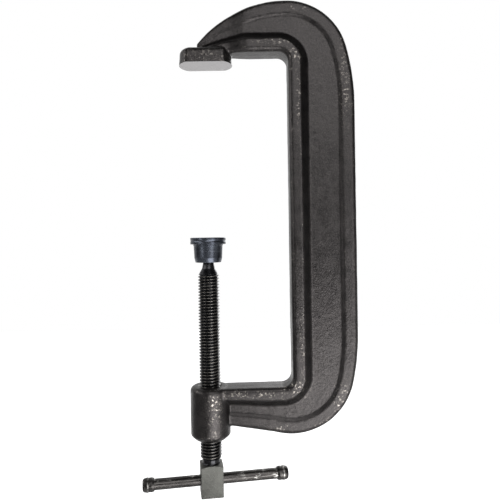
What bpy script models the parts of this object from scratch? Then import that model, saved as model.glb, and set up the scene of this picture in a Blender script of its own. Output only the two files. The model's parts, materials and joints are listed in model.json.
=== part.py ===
"""C clamp: a forged frame, a threaded spindle with a swivel pad, and a sliding bar handle.

Metres, +Z up along the spindle, +X from the spindle towards the frame's spine.
The origin is the middle of the anvil's face, on the spindle's axis.
"""
import math

import bmesh
import bpy
from mathutils import Matrix, Vector

MM = 0.001
GAP = 0.3 * MM

# Frame, seen from the side
SPINE_INNER = 85.3 * MM
SPINE_OUTER = 155.4 * MM
UPPER_ARM_UNDERSIDE = 10.1 * MM
LOWER_ARM_TOP = -333.6 * MM
LOWER_ARM_DROP = 1.2 * MM
INNER_CORNER_R = 10.0 * MM
FRAME_TOP = 66.4 * MM
FRAME_BOTTOM = -385.2 * MM
APEX_X = 84.4 * MM
CROWN_R = 119.5 * MM
UPPER_CORNER_R = 65.3 * MM
UPPER_SHOULDER_ANGLE = 15.0
LOWER_CORNER_R = 67.0 * MM
LOWER_SHOULDER_ANGLE = 12.0
LOWER_ARM_BREAK_ANGLE = 15.0
LOWER_ARM_SLOPE = 8.7
ARM_START_X = -8.4 * MM
ARM_END_X = 12.0 * MM

# Frame, I-section
BEAD_HALF = 15.5 * MM
BEAD_WIDTH = 13.0 * MM
BEAD_FOOT = 21.0 * MM
WEB_HALF = 6.2 * MM
RIB_HALF = 8.0 * MM
RIB_WIDTH = 14.0 * MM
RIB_FOOT = 17.5 * MM
FULL_SECTION = 48.0 * MM
NECK_START_X = 22.0 * MM
NECK_END_X = 46.0 * MM
NECK_FACTOR = 0.74

# Anvil block and threaded boss
ANVIL_CENTRE_X = 0.3 * MM
ANVIL_LENGTH = 55.6 * MM
ANVIL_DEPTH = 32.0 * MM
ANVIL_HEIGHT = 16.6 * MM
ANVIL_FLAT = 39.0 * MM
ANVIL_TOP_R = 5.0 * MM
ANVIL_EDGE = 0.6 * MM
BOSS_R = 20.8 * MM
BOSS_TOP = -334.2 * MM
BOSS_BOTTOM = -388.8 * MM
BOSS_RIM_R = 5.0 * MM
BOSS_CHAMFER = 4.6 * MM
BOSS_CHAMFER_HEIGHT = 4.5 * MM
BOSS_SIDES = 32
COUNTERSINK = 1.2 * MM

# Thread: 7/8 inch, 8 threads to the inch, right-handed
PITCH = 3.175 * MM
CREST_R = 11.1 * MM
ROOT_R = 9.2 * MM
THREAD_CLEARANCE = 0.4 * MM
THREAD_SIDES = 16

# Spindle
THREAD_TOP = -216.2 * MM
THREAD_BOTTOM = -410.1 * MM
NECK_R = 5.6 * MM
NECK_BOTTOM = -206.3 * MM
SHANK_R = 9.2 * MM
BALL_R = 8.0 * MM
BALL_CENTRE = -194.0 * MM
SPINDLE_SIDES = 24
HEAD_TOP = -414.6 * MM
HEAD_BOTTOM = -448.0 * MM
HEAD_FLATS = 23.3 * MM
HEAD_CHAMFER_DROP = 2.3 * MM
HEAD_TURN = math.radians(8.5)

# Swivel pad
PAD_TOP = -179.5 * MM
PAD_BOTTOM = -205.4 * MM
PAD_FLANGE_R = 18.6 * MM
PAD_FLANGE_HEIGHT = 7.0 * MM
PAD_STEP_R = 15.5 * MM
PAD_SKIRT_R = 15.1 * MM
PAD_SKIRT_LOW_R = 14.5 * MM
PAD_FOOT_R = 13.4 * MM
PAD_FOOT_HEIGHT = 4.6 * MM
PAD_EDGE = 0.6 * MM
PAD_SIDES = 40
SOCKET_R = 8.35 * MM
GROOVE_R = 9.9 * MM
GROOVE_HALF = 2.3 * MM

# Retaining ring
RING_WIRE_R = 0.9 * MM
RING_DROP = 4.5 * MM

# Slide bar and its end caps
BAR_Z = -432.7 * MM
BAR_R = 5.6 * MM
BAR_HOLE_R = 6.0 * MM
BAR_TILT = math.radians(0.7)
BAR_SIDES = 20
HANDLE_LENGTH = 153.0 * MM
HANDLE_OFFSET = 5.2 * MM
CAP_R = 7.5 * MM
CAP_LENGTH = 12.0 * MM
CAP_FLARE = 1.6 * MM
CAP_END_R = 3.6 * MM
CAP_WALL = 3.2 * MM


def clear_scene():
    for obj in list(bpy.data.objects):
        bpy.data.objects.remove(obj, do_unlink=True)


def make_collection(name):
    collection = bpy.data.collections.new(name)
    bpy.context.scene.collection.children.link(collection)
    return collection


def make_material(name, colour, roughness, metallic):
    material = bpy.data.materials.new(name)
    material.use_nodes = True
    shader = material.node_tree.nodes["Principled BSDF"]
    shader.inputs["Base Color"].default_value = (*colour, 1.0)
    shader.inputs["Roughness"].default_value = roughness
    shader.inputs["Metallic"].default_value = metallic
    return material


def make_object(name, bm, collection, material=None):
    """Turns a bmesh into a smooth-shaded object."""
    bmesh.ops.recalc_face_normals(bm, faces=bm.faces)
    mesh = bpy.data.meshes.new(name)
    bm.to_mesh(mesh)
    bm.free()
    if material:
        mesh.materials.append(material)
    mesh.shade_smooth()
    mesh.set_sharp_from_angle(angle=math.radians(35.0))
    obj = bpy.data.objects.new(name, mesh)
    collection.objects.link(obj)
    return obj


def make_guide(obj):
    """Marks an object as a cutter or a guide, which is not a piece of the clamp."""
    obj.hide_render = True
    obj.display_type = "WIRE"
    return obj


def arc(centre, radius, start, end, steps):
    """Points on an arc in a plane, with the angles in degrees."""
    points = []
    for i in range(steps + 1):
        angle = math.radians(start + (end - start) * i / steps)
        points.append(centre + radius * Vector((math.cos(angle), math.sin(angle))))
    return points


def rounded(corners, steps):
    """A path through (x, y, radius) corners, with each corner that has a radius rounded off."""
    points = []
    for i, (x, y, radius) in enumerate(corners):
        here = Vector((x, y))
        if radius == 0.0:
            points.append(here)
            continue
        before = (Vector(corners[i - 1][:2]) - here).normalized()
        after = (Vector(corners[i + 1][:2]) - here).normalized()
        half = before.angle(after) / 2
        centre = here + (before + after).normalized() * radius / math.sin(half)
        first = here + before * radius / math.tan(half) - centre
        last = here + after * radius / math.tan(half) - centre
        sweep = first.angle_signed(last)
        for k in range(steps + 1):
            turn = Matrix.Rotation(-sweep * k / steps, 2)
            points.append(centre + turn @ first)
    return points


def outer_outline():
    """The frame's outer edge in X and Z, from above the anvil round to the underside of the lower arm."""
    crown_centre = Vector((APEX_X, FRAME_TOP - CROWN_R))
    start = 90.0 + math.degrees(math.asin((APEX_X - ARM_START_X + 2 * MM) / CROWN_R))
    points = arc(crown_centre, CROWN_R, start, 90.0, 14)[:-1]
    points += corner_outline(FRAME_TOP, UPPER_CORNER_R, UPPER_SHOULDER_ANGLE, 1)
    lower = corner_outline(FRAME_BOTTOM, LOWER_CORNER_R, LOWER_SHOULDER_ANGLE, -1)
    points += reversed(lower)
    break_centre = Vector((APEX_X, FRAME_BOTTOM + LOWER_CORNER_R))
    points += arc(break_centre, LOWER_CORNER_R, -90.0, -90.0 - LOWER_ARM_BREAK_ANGLE, 3)[1:]
    run = points[-1].x - ARM_END_X + 2 * MM
    points.append(points[-1] + run * Vector((-1.0, math.tan(math.radians(LOWER_ARM_SLOPE)))))
    return points


def corner_outline(apex_z, radius, shoulder_angle, side):
    """One outer corner, from its apex to the spine; side is 1 for the upper and -1 for the lower one."""
    centre = Vector((APEX_X, apex_z - side * radius))
    angle = math.radians(shoulder_angle)
    meet = centre + radius * Vector((math.cos(angle), side * math.sin(angle)))
    shoulder_r = (SPINE_OUTER - meet.x) / (1 - math.cos(angle))
    shoulder_centre = Vector((SPINE_OUTER - shoulder_r, meet.y - side * shoulder_r * math.sin(angle)))
    points = arc(centre, radius, side * 90.0, side * shoulder_angle, 12)[:-1]
    points += arc(shoulder_centre, shoulder_r, side * shoulder_angle, 0.0, 4)
    return points


def distance_to_outline(start, direction, outline):
    """How far a ray runs before it meets the outline."""
    best = math.inf
    for a, b in zip(outline, outline[1:]):
        edge = b - a
        cross = direction.x * edge.y - direction.y * edge.x
        if abs(cross) < 1e-12:
            continue
        to_a = a - start
        along = (to_a.x * edge.y - to_a.y * edge.x) / cross
        share = (to_a.x * direction.y - to_a.y * direction.x) / cross
        if along > 0.0 and -1e-6 <= share <= 1 + 1e-6:
            best = min(best, along)
    return best


def spread(start, end, count):
    return [start + (end - start) * i / count for i in range(count + 1)]


def frame_stations():
    """(point on the inner edge, direction across the frame, neck factor) all along the C."""
    corner_x = SPINE_INNER - INNER_CORNER_R
    upper = Vector((corner_x, UPPER_ARM_UNDERSIDE - INNER_CORNER_R))
    lower = Vector((corner_x, LOWER_ARM_TOP + INNER_CORNER_R))
    stations = []
    for x in spread(ARM_START_X, corner_x, 12):
        share = (x - NECK_START_X) / (NECK_END_X - NECK_START_X)
        share = min(max(share, 0.0), 1.0)
        factor = NECK_FACTOR + (1 - NECK_FACTOR) * share * share * (3 - 2 * share)
        stations.append((Vector((x, UPPER_ARM_UNDERSIDE)), Vector((0.0, 1.0)), factor))
    for across in arc(Vector((0.0, 0.0)), 1.0, 90.0, 0.0, 9)[1:]:
        stations.append((upper + across * INNER_CORNER_R, across, 1.0))
    straight = (spread(upper.y, -35 * MM, 3)[1:] + spread(-35 * MM, -289 * MM, 3)[1:]
                + spread(-289 * MM, lower.y, 3)[1:])
    for z in straight:
        stations.append((Vector((SPINE_INNER, z)), Vector((1.0, 0.0)), 1.0))
    for across in arc(Vector((0.0, 0.0)), 1.0, 0.0, -90.0, 9)[1:]:
        stations.append((lower + across * INNER_CORNER_R, across, 1.0))
    for share in spread(0.0, 1.0, 6)[1:]:
        x = corner_x + (ARM_END_X - corner_x) * share
        stations.append((Vector((x, LOWER_ARM_TOP - LOWER_ARM_DROP * share)), Vector((0.0, -1.0)), 1.0))
    return stations


def half_section(length, factor):
    """Half of the I-section: (distance from the inner edge, height above the middle plane)."""
    scale = min(1.0, length / FULL_SECTION)
    bead = BEAD_HALF * factor
    rib = RIB_HALF * (0.6 + 0.4 * scale) * factor
    web = min(WEB_HALF, rib * 0.8)
    inner = [
        (0.0, 0.0, 0.0),
        (0.0, bead, 5.0 * MM * scale),
        (BEAD_WIDTH * scale, bead, 3.4 * MM * scale),
        (BEAD_FOOT * scale, web, 4.0 * MM * scale),
    ]
    outer = [
        (length - RIB_FOOT * scale, web, 3.0 * MM * scale),
        (length - RIB_WIDTH * scale, rib, 3.0 * MM * scale),
        (length, rib, 5.6 * MM * scale),
        (length, 0.0, 0.0),
    ]
    return rounded(inner + outer, 3)


def add_loft(bm, rings):
    """Joins rings of points that have the same count into one closed body."""
    loops = [[bm.verts.new(point) for point in ring] for ring in rings]
    for one, two in zip(loops, loops[1:]):
        for i in range(len(one)):
            k = (i + 1) % len(one)
            bm.faces.new((one[i], one[k], two[k], two[i]))
    bm.faces.new(list(reversed(loops[0])))
    bm.faces.new(loops[-1])


def frame_bar(collection, material):
    """The forged C: the I-section carried along the inner edge and stretched to the outer edge."""
    outline = outer_outline()
    rings = []
    for start, across, factor in frame_stations():
        half = half_section(distance_to_outline(start, across, outline), factor)
        section = half + [Vector((p.x, -p.y)) for p in reversed(half[1:-1])]
        ring = []
        for p in section:
            place = start + across * p.x
            ring.append(Vector((place.x, p.y, place.y)))
        rings.append(ring)
    bm = bmesh.new()
    add_loft(bm, rings)
    return make_object("frame", bm, collection, material)


def anvil_block(collection):
    """A block with straight sides and shallow round ends, which meet the sides at an edge."""
    half = ANVIL_LENGTH / 2
    bow = half - ANVIL_FLAT / 2
    end_r = (ANVIL_DEPTH * ANVIL_DEPTH / 4 + bow * bow) / (2 * bow)
    sweep = math.degrees(math.asin(ANVIL_DEPTH / 2 / end_r))
    outline = arc(Vector((half - end_r, 0.0)), end_r, -sweep, sweep, 8)
    outline += arc(Vector((end_r - half, 0.0)), end_r, 180.0 - sweep, 180.0 + sweep, 8)
    corner = arc(Vector((ANVIL_TOP_R, ANVIL_HEIGHT - ANVIL_TOP_R)), ANVIL_TOP_R, 180.0, 90.0, 3)
    rings = []
    for inset, z in [(ANVIL_EDGE, 0.0), (0.0, ANVIL_EDGE)] + [tuple(p) for p in corner]:
        along, across = 1.0 - inset / half, 1.0 - 2 * inset / ANVIL_DEPTH
        rings.append([(ANVIL_CENTRE_X + p.x * along, p.y * across, z) for p in outline])
    bm = bmesh.new()
    add_loft(bm, rings)
    return make_object("anvil_block", bm, collection)


def turned(name, profile, sides, collection, material=None):
    """A solid of revolution about Z. The profile is (radius, z) from top to bottom, both ends on the axis."""
    mesh = bpy.data.meshes.new(name)
    points = [(radius, 0.0, z) for radius, z in profile]
    edges = [(i, i + 1) for i in range(len(points) - 1)]
    mesh.from_pydata(points, edges, [])
    if material:
        mesh.materials.append(material)
    obj = bpy.data.objects.new(name, mesh)
    collection.objects.link(obj)
    screw = obj.modifiers.new("Turn", "SCREW")
    screw.axis = "Z"
    screw.steps = sides
    screw.render_steps = sides
    screw.use_merge_vertices = True
    screw.merge_threshold = 1e-6
    screw.use_smooth_shade = True
    return obj


def threaded_rod(name, top, bottom, crest, root, collection):
    """A V thread on the helix z = pitch * angle / (2 pi), with both ends closed by a fan to the axis."""
    first = math.floor(bottom / PITCH)
    turns = math.ceil(top / PITCH) - first
    rows = 2 * turns
    bm = bmesh.new()
    grid = []
    for row in range(rows + 1):
        radius = root if row % 2 else crest
        line = []
        for side in range(THREAD_SIDES + 1):
            share = side / THREAD_SIDES
            angle = 2 * math.pi * share
            z = PITCH * (first + row / 2 + share)
            line.append((radius * math.cos(angle), radius * math.sin(angle), z))
        grid.append(line)
    verts = {}
    for row in range(rows + 1):
        for side in range(THREAD_SIDES):
            verts[row, side] = bm.verts.new(grid[row][side])
    for row in range(rows + 1):
        above = (row + 2, 0)
        verts[row, THREAD_SIDES] = verts[above] if above in verts else bm.verts.new(grid[row][-1])
    for row in range(rows):
        for side in range(THREAD_SIDES):
            corners = (verts[row, side], verts[row, side + 1],
                       verts[row + 1, side + 1], verts[row + 1, side])
            bm.faces.new(corners)
    bmesh.ops.triangulate(bm, faces=bm.faces)
    for edge_z, row_pair in ((PITCH * (first - 1), 0), (PITCH * (first + turns + 2), rows)):
        apex = bm.verts.new((0.0, 0.0, edge_z))
        open_edges = [e for e in bm.edges if e.is_boundary and near_end(e, verts, row_pair)]
        for edge in open_edges:
            bm.faces.new((*edge.verts, apex))
    return make_object(name, bm, collection)


def near_end(edge, verts, row):
    """Whether a boundary edge belongs to the thread's lower (row 0) or upper end."""
    low = verts[0, 0].co.z
    high = max(v.co.z for v in verts.values())
    middle = sum(v.co.z for v in edge.verts) / 2
    return (middle - low < high - middle) == (row == 0)


def boolean(obj, operation, other):
    modifier = obj.modifiers.new(operation.title() + " " + other.name, "BOOLEAN")
    modifier.operation = operation
    modifier.solver = "EXACT"
    modifier.object = other


def build_frame(parts, guides):
    material = make_material("forged_black", (0.075, 0.068, 0.064), 0.5, 0.7)
    frame = frame_bar(parts, material)
    low_r = BOSS_R - BOSS_CHAMFER
    boss = turned("boss", [(0.0, BOSS_TOP)]
                  + [tuple(p) for p in arc(Vector((BOSS_R - BOSS_RIM_R, BOSS_TOP - BOSS_RIM_R)),
                                           BOSS_RIM_R, 90.0, 0.0, 4)]
                  + [(BOSS_R, BOSS_BOTTOM + BOSS_CHAMFER_HEIGHT), (low_r, BOSS_BOTTOM), (0.0, BOSS_BOTTOM)],
                  BOSS_SIDES, guides)
    block = anvil_block(guides)
    tap = threaded_rod("tap", BOSS_TOP + 2 * PITCH, BOSS_BOTTOM - 2 * PITCH,
                       CREST_R + THREAD_CLEARANCE, ROOT_R + THREAD_CLEARANCE, guides)
    mouth = CREST_R + THREAD_CLEARANCE + COUNTERSINK
    deep = 3 * COUNTERSINK
    tip_r = mouth - deep
    top_sink = turned("top_countersink", [(0.0, BOSS_TOP + deep), (mouth + deep, BOSS_TOP + deep),
                                          (tip_r, BOSS_TOP - deep), (0.0, BOSS_TOP - deep)],
                      BOSS_SIDES, guides)
    low_sink = turned("low_countersink", [(0.0, BOSS_BOTTOM + deep), (tip_r, BOSS_BOTTOM + deep),
                                          (mouth + deep, BOSS_BOTTOM - deep), (0.0, BOSS_BOTTOM - deep)],
                      BOSS_SIDES, guides)
    for other in (boss, block):
        boolean(frame, "UNION", make_guide(other))
    for other in (tap, top_sink, low_sink):
        boolean(frame, "DIFFERENCE", make_guide(other))
    return frame


def ball_profile():
    """The ball and its neck, from the tip down to where the neck ends."""
    low = math.degrees(math.asin(NECK_R / BALL_R)) - 90.0
    ball = arc(Vector((0.0, BALL_CENTRE)), BALL_R, 90.0, low, 12)
    return [(0.0, ball[0].y)] + [tuple(p) for p in ball[1:]] + [(NECK_R, NECK_BOTTOM)]


def build_spindle(parts, guides):
    """The thread cut to its envelope, joined to the ball end and to the square head."""
    material = make_material("black_oxide", (0.02, 0.02, 0.022), 0.35, 0.85)
    spindle = threaded_rod("spindle", THREAD_TOP + 3 * PITCH, THREAD_BOTTOM - 3 * PITCH,
                           CREST_R, ROOT_R, parts)
    spindle.data.materials.append(material)
    wide = CREST_R + 0.6 * MM
    cone_rise = (wide - ROOT_R) * 1.6
    envelope = turned("thread_envelope", [(0.0, THREAD_TOP), (ROOT_R, THREAD_TOP),
                                          (wide, THREAD_TOP - cone_rise), (wide, THREAD_BOTTOM + 1.4 * MM),
                                          (SHANK_R, THREAD_BOTTOM), (0.0, THREAD_BOTTOM)],
                      SPINDLE_SIDES, guides)
    core = ROOT_R - 0.5 * MM
    slope = (ROOT_R - NECK_R) / (NECK_BOTTOM - THREAD_TOP)
    tip_low = THREAD_TOP - 6 * MM
    tip = turned("ball_end", ball_profile()
                 + [(ROOT_R - 0.02 * MM, NECK_BOTTOM - (ROOT_R - 0.02 * MM - NECK_R) / slope),
                    (core, THREAD_TOP - 3 * MM), (core, tip_low), (0.0, tip_low)],
                 SPINDLE_SIDES, guides)
    head = square_head(guides)
    hole = cross_hole(guides)
    boolean(spindle, "INTERSECT", make_guide(envelope))
    boolean(spindle, "UNION", make_guide(tip))
    boolean(spindle, "UNION", make_guide(head))
    boolean(spindle, "DIFFERENCE", make_guide(hole))
    return spindle


def square_head(guides):
    """The shank and the square head, its top corners turned to a cone."""
    bm = bmesh.new()
    middle = (HEAD_TOP + HEAD_BOTTOM) / 2
    place = Matrix.Translation((0.0, 0.0, middle)) @ Matrix.Rotation(HEAD_TURN, 4, "Z")
    size = Matrix.Diagonal((HEAD_FLATS, HEAD_FLATS, HEAD_TOP - HEAD_BOTTOM, 1.0))
    bmesh.ops.create_cube(bm, size=1.0, matrix=place @ size)
    bmesh.ops.bevel(bm, geom=bm.edges[:], offset=0.5 * MM, segments=1, affect="EDGES")
    head = make_object("square_head", bm, guides)
    inner = HEAD_FLATS / 2 - 0.4 * MM
    corner = HEAD_FLATS / math.sqrt(2)
    run = corner - inner
    cone = turned("head_cone", [(0.0, HEAD_TOP), (inner, HEAD_TOP),
                                (corner + run, HEAD_TOP - 2 * HEAD_CHAMFER_DROP),
                                (corner + run, HEAD_BOTTOM - 2 * MM), (0.0, HEAD_BOTTOM - 2 * MM)],
                  SPINDLE_SIDES, guides)
    shank = turned("shank", [(0.0, THREAD_BOTTOM + 2 * MM), (ROOT_R - 0.5 * MM, THREAD_BOTTOM + 2 * MM),
                             (ROOT_R - 0.5 * MM, THREAD_BOTTOM + 0.05 * MM),
                             (SHANK_R, THREAD_BOTTOM + 0.05 * MM),
                             (SHANK_R, HEAD_TOP + 1.2 * MM), (SHANK_R + 0.8 * MM, HEAD_TOP - 0.2 * MM),
                             (SHANK_R + 0.8 * MM, HEAD_TOP - 2 * MM), (0.0, HEAD_TOP - 2 * MM)],
                   SPINDLE_SIDES, guides)
    boolean(head, "INTERSECT", make_guide(cone))
    boolean(head, "UNION", make_guide(shank))
    return head


def cross_hole(guides):
    along_bar = Matrix.Rotation(HEAD_TURN, 4, "Z") @ Matrix.Rotation(math.pi / 2, 4, "Y")
    bm = bmesh.new()
    bmesh.ops.create_cone(bm, cap_ends=True, segments=BAR_SIDES, radius1=BAR_HOLE_R, radius2=BAR_HOLE_R,
                          depth=2 * HEAD_FLATS, matrix=Matrix.Translation((0.0, 0.0, BAR_Z)) @ along_bar)
    return make_object("cross_hole", bm, guides)


def build_pad(parts):
    """The swivel pad: a flange, a step, a tapered skirt, and a socket open at the bottom with a ring groove."""
    step_z = PAD_TOP - PAD_FLANGE_HEIGHT
    ring_z = BALL_CENTRE - RING_DROP
    dome = [tuple(p) for p in arc(Vector((0.0, BALL_CENTRE)), SOCKET_R, 0.0, 90.0, 8)]
    profile = [
        (0.0, PAD_TOP),
        (PAD_FLANGE_R - PAD_EDGE, PAD_TOP),
        (PAD_FLANGE_R, PAD_TOP - PAD_EDGE),
        (PAD_FLANGE_R, step_z + PAD_EDGE),
        (PAD_FLANGE_R - PAD_EDGE, step_z),
        (PAD_STEP_R, step_z),
        (PAD_STEP_R, step_z - 1.0 * MM),
        (PAD_SKIRT_R, step_z - 1.6 * MM),
        (PAD_SKIRT_LOW_R, PAD_BOTTOM + PAD_FOOT_HEIGHT),
        (PAD_FOOT_R, PAD_BOTTOM),
        (SOCKET_R + PAD_EDGE, PAD_BOTTOM),
        (SOCKET_R, PAD_BOTTOM + PAD_EDGE),
        (SOCKET_R, ring_z - GROOVE_HALF),
        (GROOVE_R, ring_z - GROOVE_HALF),
        (GROOVE_R, ring_z + GROOVE_HALF),
        (SOCKET_R, ring_z + GROOVE_HALF),
    ]
    material = make_material("blued_steel", (0.03, 0.034, 0.042), 0.3, 0.9)
    pad = turned("swivel_pad", profile + dome[:-1] + [(0.0, dome[-1][1])], PAD_SIDES, parts, material)
    set_origin(pad, Vector((0.0, 0.0, BALL_CENTRE)))
    return pad


def build_ring(parts):
    """A wire ring, closed all round, just below the ball's widest place."""
    material = make_material("spring_wire", (0.25, 0.25, 0.26), 0.35, 1.0)
    reach = BALL_R + GAP + RING_WIRE_R
    ring_r = math.sqrt(reach * reach - RING_DROP * RING_DROP)
    bpy.ops.mesh.primitive_torus_add(major_segments=32, minor_segments=8, major_radius=ring_r,
                                     minor_radius=RING_WIRE_R,
                                     location=(0.0, 0.0, BALL_CENTRE - RING_DROP))
    ring = bpy.context.object
    ring.name = "retaining_ring"
    ring.data.name = "retaining_ring"
    ring.data.materials.append(material)
    ring.data.shade_smooth()
    for collection in list(ring.users_collection):
        collection.objects.unlink(ring)
    parts.objects.link(ring)
    return ring


def set_origin(obj, place):
    """Moves an object's origin without moving its shape."""
    obj.data.transform(Matrix.Translation(-place))
    obj.location = place


def build_handle(parts):
    """The bar and its two end caps, modelled along +X about the head's middle and turned with the head."""
    steel = make_material("bar_steel", (0.06, 0.058, 0.057), 0.38, 0.9)
    dark = make_material("cap_steel", (0.045, 0.043, 0.043), 0.42, 0.9)
    slider = bpy.data.objects.new("bar_slide_axis", None)
    slider.location = (0.0, 0.0, BAR_Z)
    slider.rotation_euler = (0.0, math.pi / 2 - BAR_TILT, HEAD_TURN)
    parts.objects.link(slider)
    left_end = HANDLE_OFFSET - HANDLE_LENGTH / 2
    right_end = HANDLE_OFFSET + HANDLE_LENGTH / 2
    low = left_end + CAP_WALL + GAP
    high = right_end - CAP_WALL - GAP
    edge = 0.6 * MM
    bar = turned("slide_bar", [(0.0, high), (BAR_R - edge, high), (BAR_R, high - edge),
                               (BAR_R, low + edge), (BAR_R - edge, low), (0.0, low)],
                 BAR_SIDES, parts, steel)
    right = turned("bar_cap_right", cap_profile(right_end), BAR_SIDES, parts, dark)
    left = turned("bar_cap_left", cap_profile(-left_end), BAR_SIDES, parts, dark)
    for piece in (bar, right):
        piece.parent = slider
    left.parent = slider
    left.rotation_euler = (math.pi, 0.0, 0.0)


def cap_profile(end):
    """A cap on the bar's end, from its rounded outer end to its flared shoulder and back up its bore."""
    mouth = end - CAP_LENGTH
    bore = BAR_R + GAP
    corner = arc(Vector((CAP_R - CAP_END_R, end - CAP_END_R)), CAP_END_R, 90.0, 0.0, 5)
    return ([(0.0, end)] + [tuple(p) for p in corner]
            + [(CAP_R, mouth + 2 * CAP_FLARE), (CAP_R - 0.5 * MM, mouth + CAP_FLARE),
               (bore + 0.7 * MM, mouth), (bore, mouth), (bore, end - CAP_WALL), (0.0, end - CAP_WALL)])


def main():
    clear_scene()
    parts = make_collection("c_clamp")
    guides = make_collection("cutters")
    build_frame(parts, guides)
    build_spindle(parts, guides)
    build_pad(parts)
    build_ring(parts)
    build_handle(parts)


main()
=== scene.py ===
"""Looks for the C clamp: fine pieces, materials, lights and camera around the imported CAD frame.

Metres, +Z up along the spindle, +X from the spindle towards the spine, and the camera looks along +Y.
"""
import json
import math

import bmesh
import bpy
import numpy as np
from mathutils import Matrix, Vector, noise


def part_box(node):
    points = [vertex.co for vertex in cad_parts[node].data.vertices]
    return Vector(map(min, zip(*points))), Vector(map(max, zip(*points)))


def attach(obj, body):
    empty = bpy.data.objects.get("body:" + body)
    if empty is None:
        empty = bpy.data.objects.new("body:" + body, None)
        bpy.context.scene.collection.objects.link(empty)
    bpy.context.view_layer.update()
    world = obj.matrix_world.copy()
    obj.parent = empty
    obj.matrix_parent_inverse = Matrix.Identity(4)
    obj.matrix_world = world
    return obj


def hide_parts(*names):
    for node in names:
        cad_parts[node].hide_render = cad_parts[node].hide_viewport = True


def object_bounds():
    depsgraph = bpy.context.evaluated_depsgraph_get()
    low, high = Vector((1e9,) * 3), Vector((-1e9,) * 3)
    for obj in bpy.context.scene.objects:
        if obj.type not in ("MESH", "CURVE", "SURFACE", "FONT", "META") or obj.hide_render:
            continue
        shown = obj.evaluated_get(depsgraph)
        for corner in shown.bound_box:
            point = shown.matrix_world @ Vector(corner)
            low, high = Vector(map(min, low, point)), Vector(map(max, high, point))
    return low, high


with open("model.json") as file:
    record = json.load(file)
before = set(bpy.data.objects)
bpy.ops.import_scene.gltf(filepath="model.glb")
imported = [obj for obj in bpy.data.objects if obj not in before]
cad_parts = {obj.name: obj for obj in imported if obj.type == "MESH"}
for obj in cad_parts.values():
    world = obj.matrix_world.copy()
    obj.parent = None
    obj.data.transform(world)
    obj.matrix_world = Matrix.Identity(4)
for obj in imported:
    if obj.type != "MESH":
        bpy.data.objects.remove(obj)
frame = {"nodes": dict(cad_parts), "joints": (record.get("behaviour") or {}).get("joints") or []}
cad_low, cad_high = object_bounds()

MM = 0.001
UP = Vector((0.0, 0.0, 1.0))
AXIS_R = 0.01 * MM  # a turned profile starts this far off its axis
FRAME_LOW, FRAME_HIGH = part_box("frame")
SCREW_LOW, SCREW_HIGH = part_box("spindle")
PAD_LOW, PAD_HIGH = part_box("swivel_pad")
RING_LOW, RING_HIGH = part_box("retaining_ring")
JOINTS = {joint["name"]: joint for joint in frame["joints"]}

# Frame, seen from the side
SPINE_INNER = 85.3 * MM
SPINE_OUTER = FRAME_HIGH.x
UPPER_ARM_UNDERSIDE = 10.1 * MM
LOWER_ARM_TOP = -333.6 * MM
LOWER_ARM_DROP = 1.2 * MM
INNER_CORNER_R = 10.0 * MM
FRAME_TOP = FRAME_HIGH.z
FRAME_BOTTOM = FRAME_LOW.z + 3.6 * MM
APEX_X = 84.4 * MM
CROWN_R = 119.5 * MM
UPPER_CORNER_R = 65.3 * MM
UPPER_SHOULDER_ANGLE = 15.0
LOWER_CORNER_R = 67.0 * MM
LOWER_SHOULDER_ANGLE = 12.0
LOWER_ARM_BREAK_ANGLE = 15.0
LOWER_ARM_SLOPE = 8.7
ARM_START_X = -8.4 * MM
ARM_END_X = 12.0 * MM

# Frame, I-section
BEAD_HALF = 15.5 * MM
BEAD_WIDTH = 13.0 * MM
BEAD_FOOT = 21.0 * MM
WEB_HALF = 6.2 * MM
RIB_HALF = 8.0 * MM
RIB_WIDTH = 14.0 * MM
RIB_FOOT = 17.5 * MM
BEAD_DRAFT = 0.5 * MM
RIB_DRAFT = 0.6 * MM
FULL_SECTION = 48.0 * MM
NECK_START_X = 22.0 * MM
NECK_END_X = 46.0 * MM
NECK_FACTOR = 0.74
SKIN_VOXEL = 0.9 * MM

# Where the forging is rubbed bright, in mm: x, z, reach in x, reach in z, strength
RUBBED = [
    (5.0, -352.0, 6.0, 20.0, 0.95),
    (3.0, -384.0, 8.0, 2.5, 0.9),
    (40.0, -340.5, 34.0, 3.0, 0.75),
    (88.0, -336.0, 12.0, 8.0, 1.0),
    (70.0, 20.0, 16.0, 2.6, 0.7),
    (94.0, 8.0, 6.0, 8.0, 0.8),
    (96.0, -40.0, 2.5, 40.0, 0.35),
    (96.0, -290.0, 2.5, 40.0, 0.5),
    (95.0, 57.0, 10.0, 2.5, 0.55),
    (144.0, -20.0, 5.0, 34.0, 0.5),
    (137.0, -350.0, 7.0, 14.0, 0.8),
    (75.0, -377.0, 8.0, 2.5, 0.7),
    (0.3, 8.0, 20.0, 7.0, 0.3),
    (-18.5, 3.0, 2.5, 4.0, 1.0),
    (19.0, 3.0, 2.5, 4.0, 1.0),
]
BACK_RUB = 0.7  # the back is rubbed less than the front

# Anvil and boss
ANVIL_LENGTH = 55.6 * MM
ANVIL_CENTRE_X = FRAME_LOW.x + ANVIL_LENGTH / 2
ANVIL_DEPTH = 32.0 * MM
ANVIL_HEIGHT = 16.6 * MM
ANVIL_FLAT = 39.0 * MM
ANVIL_TOP_R = 5.0 * MM
ANVIL_DRAFT = 1.5 * MM
ANVIL_SPARE = 4.0 * MM  # cut away below the finished face
BOSS_R = FRAME_HIGH.y
BOSS_TOP = -334.2 * MM
BOSS_BOTTOM = FRAME_LOW.z
BOSS_RIM_R = 5.0 * MM
BOSS_CHAMFER = 4.6 * MM
BOSS_CHAMFER_HEIGHT = 4.5 * MM
COUNTERSINK = 1.2 * MM

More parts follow.
